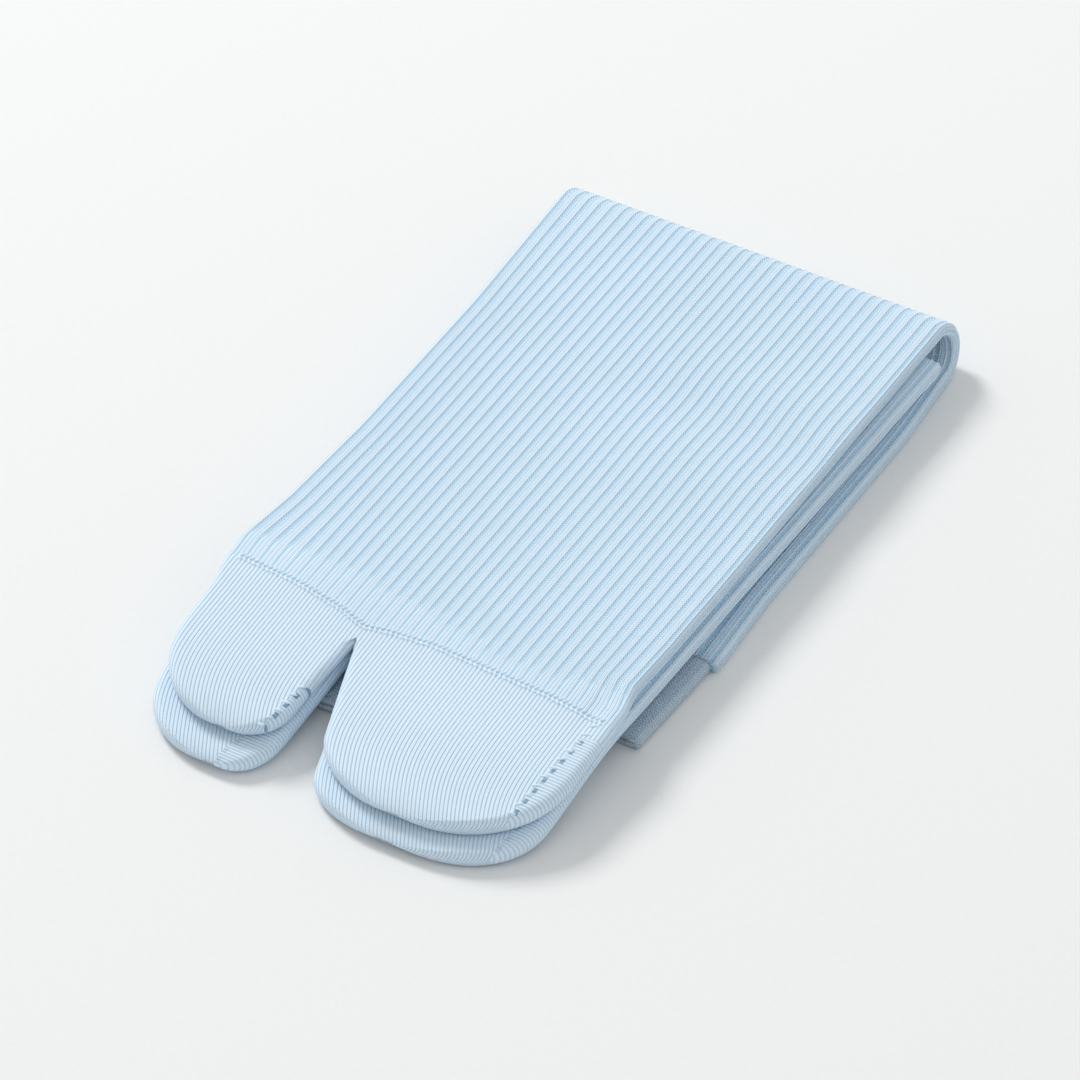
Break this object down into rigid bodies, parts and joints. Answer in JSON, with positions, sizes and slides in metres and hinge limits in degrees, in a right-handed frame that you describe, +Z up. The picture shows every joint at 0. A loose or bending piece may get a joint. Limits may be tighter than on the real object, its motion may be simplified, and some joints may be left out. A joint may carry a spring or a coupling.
{
  "type": "folded pair of tabi socks",
  "caption": "Ribbed split-toe socks laid sole to sole and folded once, with plain-knit toes and a seam across the instep.",
  "frame": {"origin": "middle of the folded pair's box, on the surface that it lies on", "axes": "+Y from the toe tips to the fold, +X to the side of the wide toe pockets, +Z up"},
  "size_m": [0.0958, 0.1826, 0.0137],
  "materials": {
    "rib_knit": "pale blue fine cotton rib knit, plain knit at the toes, soft and matt with a slight fuzz",
    "welt_knit": "pale blue dense elastic welt knit, matt",
    "linking_seam": "pale blue linked loops of sewing yarn, matt"
  },
  "bodies": {
    "root": {"upper_sock": "rib_knit", "upper_cuff": "welt_knit", "upper_toe_seam": "linking_seam", "lower_sock": "rib_knit", "lower_cuff": "welt_knit"}
  },
  "joints": []
}
